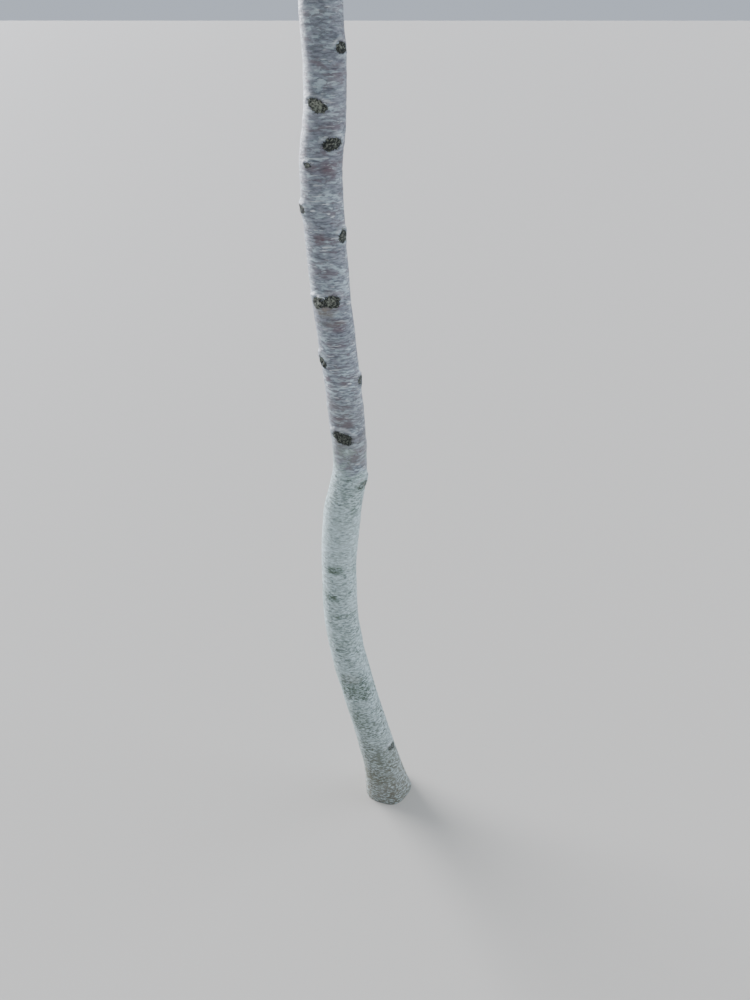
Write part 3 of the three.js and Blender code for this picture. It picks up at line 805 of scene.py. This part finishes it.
def makeTrunk():
    close = np.arange(0, trunk["closeTop"], trunk["closeRow"])
    wideRows = int((trunk["top"] - trunk["closeTop"]) / trunk["wideRow"])
    wide = np.linspace(trunk["closeTop"], trunk["top"], wideRows)
    turns = np.linspace(-math.pi, math.pi, trunk["columns"], endpoint=False)
    heights, angles = np.meshgrid(np.concatenate([close, wide]), turns, indexing="ij")
    radius = trunkRadius(heights, angles)
    place = around(radius, angles, heights)

    wrinkle = lumps(place, "wrinkle") + trunk["fineWrinkles"] * lumps(place, "fineWrinkle")
    grain = lumps(place, "crust") + trunk["fineCrust"] * lumps(place, "fineCrust")
    edge = stainsAndShadow["crustTop"] + stainsAndShadow["crustRagged"] * lumps(place, "crustEdge")
    crust = 1 - softStep(edge - stainsAndShadow["crustFade"], edge + stainsAndShadow["crustFade"], heights)
    relief = (trunk["lumpDepth"] * lumps(place, "lump") + trunk["wrinkleDepth"] * wrinkle * (1 - crust)
              + trunk["crustDepth"] * grain * crust)

    def ringsRound(height, turn, halfWidth, halfHeight, lean=0):   # 1 at the edge of an oval on the bark
        aside, above = wrapped(angles - math.radians(turn - 90)) * radius, heights - height
        cosine, sine = math.cos(math.radians(lean)), math.sin(math.radians(lean))
        across, along = aside * cosine - above * sine, aside * sine + above * cosine
        return np.hypot(across / halfWidth, along / halfHeight)

    scar, scarMiddle, lip = (np.zeros(radius.shape) for _ in range(3))
    ragged = (1 + scars["ragged"] * lumps(place, "scarEdge")
              + scars["fineRagged"] * lumps(place, "fineScarEdge"))
    crumbs = scars["crumbDepth"] * lumps(place, "crumb")
    lipTone = scars["lipTone"] + scars["lipLumps"] * lumps(place, "lip")
    for height, turn, halfWidth, halfHeight, lean, paleness, strength in allScars():
        ring = ringsRound(height, turn, halfWidth, halfHeight, lean) * ragged
        above = softStep(*scars["aboveFade"], (heights - height) / halfHeight)
        for share, reach, power in (scars["mound"], scars["skirt"]):
            relief += scars["rise"] * share * bell(ring, 0, reach, power)
        relief += scars["lipRise"] * bell(ring, *scars["roll"]) * mix(scars["rollBelow"], 1, above)
        relief -= scars["hollow"] * bell(ring, 0, scars["hollowReach"])
        relief += crumbs * (ring < 1)
        scar = np.maximum(scar, strength * (1 - softStep(*scars["woodFade"], ring)))
        # Paler in the middle, darker towards the edge; the dark edge is partly painted shade of the gap round
        # the scar.
        scarMiddle = np.maximum(scarMiddle, paleness * bell(ring, 0, scars["middleAndEdgeShadeReach"]))
        lip = np.maximum(lip, above * bell(ring, *scars["lipBand"]) * lipTone)
    for mass in masses[:-1]:
        collarFoot = mass["boughHeight"] - trunk["collarDrop"]
        tall = trunk["collarTall"] * trunk["collarSize"]
        relief += trunk["collarRise"] * bell(
            ringsRound(collarFoot, mass["turn"], trunk["collarSize"], tall), 0, 1)
    relief *= softStep(0, trunk["cutFade"], heights)

    stainEdge = stainsAndShadow["ragged"] * lumps(place, "stainEdge")

    def paintedOvals(kind):
        total = np.zeros(radius.shape)
        for *oval, strength in stainsAndShadow[kind]:
            ring = ringsRound(*oval) + stainEdge
            total = np.maximum(total, strength * (1 - softStep(*stainsAndShadow["fade"], ring)))
        return total

    pale = np.interp(heights, *zip(*stainsAndShadow["pale"])) + stainsAndShadow["paleLumps"] * lumps(place, "film")
    earth = stainsAndShadow["earthShare"] * bell(heights, 0, stainsAndShadow["earthHeight"])
    centres = np.stack([stationValue(heights, 1), stationValue(heights, 2), heights], axis=-1)
    skin = radius + relief
    rings = centres + around(skin, angles, np.zeros(skin.shape))
    masks = dict(
        barkPlace=place, pale=np.clip(pale, 0, 1), crust=crust, moss=paintedOvals("moss"),
        brown=np.maximum(paintedOvals("brown"), earth), blush=paintedOvals("blush"), scar=scar,
        scarMiddle=scarMiddle, lip=np.clip(lip, 0, 1),
    )
    piece = addObject("trunk_bark", skinMesh("trunk_bark", rings, masks))
    piece.data.materials.append(makeTrunkBark())
    finishPiece(piece, "trunk_bark", "trunk")
    return piece


trunkPiece = makeTrunk()
print("trunk made:", len(trunkPiece.data.polygons), "faces")

# Young bark of boughs and twigs: smooth, red-brown under a thin grey skin, with pale pores in rings;
# where a bough leaves the trunk it has the trunk's grey cork.
youngBark = dict(
    brown="#6b5048", grey="#8d8683", pore="#b7a592", cork="#74777f", roughness=0.48,
    skinSize=(0.03, 0.06), skinFade=0.16, poreSize=(0.007, 0.0017), poreEdge=(0.6, 0.68), detail=2.0,
    bumpStrength=0.4, bumpDepth=0.0006, greyFrom=dict(bough=0.36, twig=0.62),
)


def makeYoungBark(name, limb):
    look = youngBark
    material, tree, shader = startMaterial(name)
    if limb == "twig":
        place = addNode(tree, "ShaderNodeTexCoord").outputs["Object"]
    else:
        place = shaderAttribute(tree, "barkPlace", "Vector")
    skin = stretchedNoise(tree, place, look["skinSize"], Detail=look["detail"])
    grey = between(tree, skin, look["greyFrom"][limb], look["greyFrom"][limb] + look["skinFade"], "LINEAR")
    pores = stretchedNoise(tree, place, look["poreSize"], Detail=look["detail"])
    pores = between(tree, pores, *look["poreEdge"], "LINEAR")
    colour = hexColour(look["brown"])
    for share, tint in ((grey, "grey"), (pores, "pore"), (shaderAttribute(tree, "collar"), "cork")):
        colour = blended(tree, share, colour, hexColour(look[tint]))
    setSurface(tree, shader, colour, look["roughness"])
    addBump(tree, shader, pores, look["bumpStrength"], look["bumpDepth"])
    return material


def makeBough(mass, material):
    curve, tier = mass["bough"], mass["tier"]
    shares = np.linspace(0, 1, bough["rows"])
    angles = np.linspace(-math.pi, math.pi, bough["columns"], endpoint=False)
    cosines, sines = np.cos(angles), np.sin(angles)
    across = curve.tangent(0).cross(curve.tangent(1)).normalized()
    length = curve.length()
    rings, places = [], []
    for t in shares:
        over = across.cross(curve.tangent(t))
        swell = 1 + bough["swell"] * math.exp(-t / bough["collarLength"])
        radius = mix(tier["boughRadius"], tier["tipRadius"], t) * swell
        heights = np.full(bough["columns"], t * length + mass["boughHeight"])
        place = around(radius, angles, heights)
        relief = (bough["lumpDepth"] * lumps(place, "boughLump")
                  + bough["wrinkleDepth"] * lumps(place, "boughWrinkle"))
        reach = (radius + relief * math.sin(math.pi * t) ** bough["endFade"])[:, None]
        outward = cosines[:, None] * np.array(across) + sines[:, None] * np.array(over)
        rings.append(np.array(curve.point(t)) + reach * outward)
        places.append(place)
    name = f"bough_bark_{mass['name']}"
    collar = np.repeat(bough["corkShare"] * bell(shares * length, 0, bough["corkLength"]), bough["columns"])
    mesh = skinMesh(name, np.array(rings), dict(barkPlace=np.array(places), collar=collar))
    mesh.materials.append(material)
    finishPiece(addObject(name, mesh), "bough_bark", f"bough_{mass['name']}")


boughMaterial = makeYoungBark("smoothBoughBark", "bough")
for mass in masses[:-1]:
    makeBough(mass, boughMaterial)
print("boughs made:", len(masses) - 1)


# Starts a Geometry Nodes tree with inputs besides its geometry, given as labels and kinds.
def startTree(name, extras):
    tree = bpy.data.node_groups.new(name, "GeometryNodeTree")
    sockets = {}
    for label, kind in {"Geometry": "Geometry", **extras}.items():
        socket = tree.interface.new_socket(label, in_out="INPUT", socket_type=f"NodeSocket{kind}")
        sockets[label] = socket.identifier
    tree.interface.new_socket("Geometry", in_out="OUTPUT", socket_type="NodeSocketGeometry")
    return tree, addNode(tree, "NodeGroupInput").outputs, sockets


def namedAttribute(tree, name, kind):
    node = addNode(tree, "GeometryNodeInputNamedAttribute", {"Name": name}, data_type=kind)
    return node.outputs["Attribute"]


# Twigs: round bars along the grown lines, one Geometry Nodes tree for all of them.
def makeTwigTree():
    tree, given, sockets = startTree("barsOnLines", {"Sides": "Int", "Bark": "Material"})
    lines = addNode(tree, "GeometryNodeMeshToCurve", {"Mesh": given["Geometry"]})
    ring = addNode(tree, "GeometryNodeCurvePrimitiveCircle", {"Resolution": given["Sides"], "Radius": 1.0})
    bars = addNode(tree, "GeometryNodeCurveToMesh", {
        "Curve": lines.outputs[0], "Profile Curve": ring.outputs[0],
        "Scale": namedAttribute(tree, "barRadius", "FLOAT"), "Fill Caps": True})
    shape = bars.outputs[0]
    for kind in ("RealizeInstances", "SetShadeSmooth", "SetMaterial"):
        node = addNode(tree, f"GeometryNode{kind}", {"Geometry": shape})
        shape = node.outputs[0]
    plug(tree, node.inputs["Material"], given["Bark"])
    addNode(tree, "NodeGroupOutput", {"Geometry": shape})
    return tree, sockets


# Leaves: a toothless outline of a few faces each, folded along the midrib and arched over. Lengths are
# shares of the blade's.
leafShape = dict(
    stations=(0, 0.07, 0.2, 0.38, 0.56, 0.73, 0.88, 1),
    widths=(0, 0.34, 0.76, 1, 0.97, 0.71, 0.27, 0),
    halfWidth=0.255, stalk=0.17, stalkRadius=0.009, stalkTaper=0.6, stalkRise=0.03, stalkOverlap=0.02,
    folds=(0.3, 0.16, 0.42), arches=(0.2, 0.34, 0.12), archShortens=0.35,
    waves=(0.02, 0.05, 0.035), wavesAlong=1.3, twists=(0.05, -0.12, 0.16),
)
# Upper side of a cherry leaf: leathery and half glossy, from deep to fresh green, a few turning yellow.
leafTints = dict(deepGreenLeaf="#40612a", midGreenLeaf="#517633", freshGreenLeaf="#688a3d",
                 yellowingLeaf="#a89c46")
leafRoughness = 0.58


def makeLeafMesh(which):
    shape = leafShape
    fold, arch, wave, twist = (shape[name][which] for name in ("folds", "arches", "waves", "twists"))
    points, faces = [], [(0, 1, 4, 3), (1, 2, 5, 4), (2, 0, 3, 5)]
    stalkEnd = (shape["stalkTaper"], shape["stalk"] + shape["stalkOverlap"], shape["stalkRise"])
    for taper, y, z in ((1, 0, 0), stalkEnd):
        radius = taper * shape["stalkRadius"]
        for k in range(3):
            turn = 2 * math.pi * k / 3
            points.append((radius * math.cos(turn), y, radius * math.sin(turn) + z))
    previous = None
    for s, w in zip(shape["stations"], shape["widths"]):
        y = shape["stalk"] + s * (1 - shape["archShortens"] * arch * s)
        z = shape["stalkRise"] - arch * s * s
        half = shape["halfWidth"] * w
        ripple = wave * math.sin(2 * math.pi * shape["wavesAlong"] * s) + twist * s * s * half
        first = len(points)
        if w == 0:
            row = [first] * 3
            points.append((0, y, z))
        else:
            row = [first, first + 1, first + 2]
            points += [(-half, y, z + fold * half + ripple), (0, y, z), (half, y, z + fold * half - ripple)]
        if previous:
            quads = [(previous[k], previous[k + 1], row[k + 1], row[k]) for k in (0, 1)]
            faces += [tuple(dict.fromkeys(quad)) for quad in quads]   # triangles at the pointed ends
        previous = row
    mesh = bpy.data.meshes.new(f"leafShape{which}")
    mesh.from_pydata(points, [], faces)
    mesh.shade_smooth()
    return mesh


shapeLabels = [f"Leaf shape {k}" for k in range(leaf["kinds"])]
tintLabels = [f"Tint {k}" for k in range(len(leafTints))]


def makeLeafTree():
    extras = dict.fromkeys(shapeLabels, "Object") | dict.fromkeys(tintLabels, "Material")
    tree, given, sockets = startTree("leavesOnSprays", extras)
    bundle = addNode(tree, "GeometryNodeGeometryToInstance")
    for label in reversed(shapeLabels):   # a later link to this socket comes first in its list
        info = addNode(tree, "GeometryNodeObjectInfo", {"Object": given[label]})
        tree.links.new(info.outputs["Geometry"], bundle.inputs[0])
    turned = addNode(tree, "FunctionNodeEulerToRotation", {
        "Euler": namedAttribute(tree, "leafTurn", "FLOAT_VECTOR")})
    placed = addNode(tree, "GeometryNodeInstanceOnPoints", {
        "Points": given["Geometry"], "Instance": bundle.outputs[0], "Pick Instance": True,
        "Instance Index": namedAttribute(tree, "leafKind", "INT"), "Rotation": turned.outputs[0],
        "Scale": namedAttribute(tree, "leafLength", "FLOAT")})
    whole = addNode(tree, "GeometryNodeRealizeInstances", {"Geometry": placed.outputs[0]}).outputs[0]
    tint = namedAttribute(tree, "leafTint", "INT")
    for k, label in enumerate(tintLabels):
        chosen = addNode(tree, "FunctionNodeCompare", {2: tint, 3: k}, data_type="INT", operation="EQUAL")
        whole = addNode(tree, "GeometryNodeSetMaterial", {
            "Geometry": whole, "Selection": chosen.outputs[0], "Material": given[label]}).outputs[0]
    addNode(tree, "NodeGroupOutput", {"Geometry": whole})
    return tree, sockets


# Runs a tree on a mesh of points or lines and gives the finished plain mesh.
def grownMesh(name, source, tree, sockets, values):
    seedling = addObject(f"{name}_source", source)
    modifier = seedling.modifiers.new("grow", "NODES")
    modifier.node_group = tree
    for label, value in values.items():
        modifier[sockets[label]] = value
    graph = bpy.context.evaluated_depsgraph_get()
    mesh = bpy.data.meshes.new_from_object(seedling.evaluated_get(graph), depsgraph=graph)
    mesh.name = name
    for attribute in [a.name for a in mesh.attributes if a.name.startswith(("leaf", "bar"))]:
        mesh.attributes.remove(mesh.attributes[attribute])
    bpy.data.objects.remove(seedling)
    return mesh


def lineMesh(name, bars):
    points, edges, radii = [], [], []
    for curve, foot, tip, steps in bars:
        first = len(points)
        for i in range(steps + 1):
            points.append(curve.point(i / steps))
            radii.append(mix(foot, tip, i / steps))
        edges += [(k, k + 1) for k in range(first, first + steps)]
    mesh = bpy.data.meshes.new(name)
    mesh.from_pydata(points, edges, [])
    addAttribute(mesh, "barRadius", "FLOAT", radii)
    return mesh


# The leaves of one mass that have room, as points; each spray draws one tint.
def leafPoints(name, mass):
    tintEdges = np.cumsum(leaf["tintShares"])
    rows = []
    for i, spray in enumerate(mass["sprays"]):
        pick = seededRandom(mass["seed"] + crown["tintSeedStep"] * (i + 1))()
        tint = min(int(np.searchsorted(tintEdges, pick)), len(tintEdges) - 1)
        for foot, basis, length, kind in spray["leaves"]:
            tip = foot + basis @ Vector((0, leaf["reach"] * length, 0))
            if hasRoom(mass, tip, leaf["roomAtTip"]):
                rows.append((foot, basis.to_euler(), length, kind, tint))
    points, turns, lengths, kinds, tints = zip(*rows)
    mesh = bpy.data.meshes.new(name)
    mesh.from_pydata(points, [], [])
    addAttribute(mesh, "leafTurn", "FLOAT_VECTOR", np.ravel(turns))
    addAttribute(mesh, "leafLength", "FLOAT", lengths)
    addAttribute(mesh, "leafKind", "INT", kinds)
    addAttribute(mesh, "leafTint", "INT", tints)
    return mesh


twigMaterial = makeYoungBark("redBrownTwigBark", "twig")
leafMaterials = [plainMaterial(name, code, leafRoughness) for name, code in leafTints.items()]
leafObjects = [addObject(f"leafShape{k}", makeLeafMesh(k)) for k in range(leaf["kinds"])]
leafValues = dict(zip(shapeLabels, leafObjects)) | dict(zip(tintLabels, leafMaterials))
twigTree, leafTree = makeTwigTree(), makeLeafTree()
leafCount = 0
for mass in masses:
    name = f"twigs_{mass['name']}"
    bars = [(*bar, twig["steps"]) for bar in mass["twigs"]]
    fineBars = [(spray["line"], *spray["radii"], shoot["steps"]) for spray in mass["sprays"]]
    parts = []
    for label, lines, sides in ((name, bars, twig["sides"]), (f"{name}_fine", fineBars, shoot["sides"])):
        values = {"Sides": sides, "Bark": twigMaterial}
        parts.append(addObject(label, grownMesh(label, lineMesh(f"{label}_lines", lines), *twigTree, values)))
    with bpy.context.temp_override(active_object=parts[0], selected_editable_objects=parts):
        bpy.ops.object.join()

    name = f"leaves_{mass['name']}"
    source = leafPoints(f"{name}_points", mass)
    leafCount += len(source.vertices)
    leaves = addObject(name, grownMesh(name, source, *leafTree, leafValues))
    for piece in (parts[0], leaves):
        finishPiece(piece, "foliage", f"foliage_{mass['name']}")
for shape in leafObjects:
    bpy.data.objects.remove(shape)
print("crown dressed:", leafCount, "leaves")

# Stage: a plain pale floor under a wide soft sky, with the brighter side behind the tree on the left.
# Each lamp lights evenly, from its heading, with the spread of a large soft box (degrees).
studio = dict(
    floorSize=400, floorColour="#cfcac2", floorRoughness=0.9, sky="#d8e3f3", skyStrength=0.74,
    lamps=(
        dict(name="brightSky", heading=(-0.75, 0.65, 0.13), spread=46, strength=14.0, colour="#f6f8ff"),
        dict(name="rightEdge", heading=(0.93, 0.2, 0.3), spread=50, strength=2.1, colour="#e9f1ff"),
        dict(name="frontFill", heading=(0.3, -0.8, 0.6), spread=70, strength=0.25, colour="#fff8ef"),
    ),
)


def makeStage():
    half = studio["floorSize"] / 2
    corners = [(-half, -half, 0), (half, -half, 0), (half, half, 0), (-half, half, 0)]
    mesh = bpy.data.meshes.new("floor")
    mesh.from_pydata(corners, [], [(0, 1, 2, 3)])
    mesh.materials.append(plainMaterial("mattePaleFloor", studio["floorColour"], studio["floorRoughness"]))
    addObject("floor", mesh)
    for lamp in studio["lamps"]:
        light = bpy.data.lights.new(lamp["name"], "SUN")
        light.angle = math.radians(lamp["spread"])
        light.energy = lamp["strength"]
        light.color = hexColour(lamp["colour"])[:3]
        holder = bpy.data.objects.new(lamp["name"], light)
        holder.rotation_euler = Vector(lamp["heading"]).to_track_quat("Z", "Y").to_euler()
        scene.collection.objects.link(holder)
    world = bpy.data.worlds.new("softSky")
    world.use_nodes = True
    background = world.node_tree.nodes["Background"]
    background.inputs["Color"].default_value = hexColour(studio["sky"])
    background.inputs["Strength"].default_value = studio["skyStrength"]
    scene.world = world


makeStage()
print("stage set")
